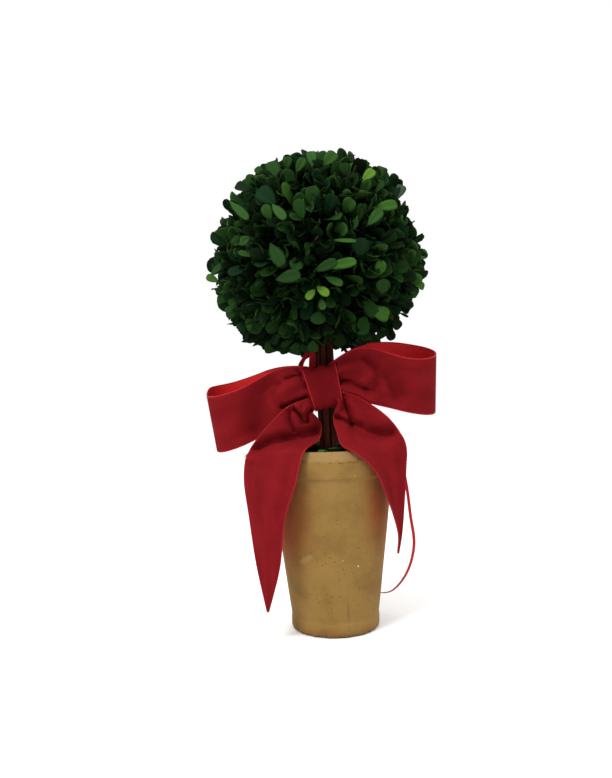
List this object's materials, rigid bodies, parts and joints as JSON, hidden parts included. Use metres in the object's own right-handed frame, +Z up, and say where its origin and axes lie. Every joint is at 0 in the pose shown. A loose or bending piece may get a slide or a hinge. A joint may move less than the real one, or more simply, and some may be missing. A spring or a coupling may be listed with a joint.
{
  "type": "box topiary ball",
  "caption": "Small clipped box ball on a bundle of sticks in a tapered clay pot, tied below the ball with a wide velvet ribbon bow.",
  "frame": {"origin": "centre of the flat underside of the pot", "axes": "+Z up along the pot's axis, the bow faces -Y, +X to the right as seen from the bow's side"},
  "size_m": [0.168, 0.1604, 0.3538],
  "materials": {
    "clay": "matte",
    "foam": "matte",
    "leaves": "satin",
    "bark": "matte",
    "velvet": "matte"
  },
  "bodies": {
    "root": {"pot": "clay", "pot_fill": "foam", "pot_greenery": "leaves", "stem_stick_1": "bark", "stem_stick_2": "bark", "stem_stick_3": "bark", "stem_stick_4": "bark", "stem_stick_5": "bark", "stem_stick_6": "bark", "stem_stick_7": "bark", "foliage_ball": "leaves", "bow_knot": "velvet", "bow_loop_left": "velvet", "bow_loop_right": "velvet", "bow_tail_left": "velvet", "bow_tail_right": "velvet", "bow_tie": "velvet", "bow_tie_loop": "velvet", "bow_strand": "velvet"}
  },
  "joints": []
}
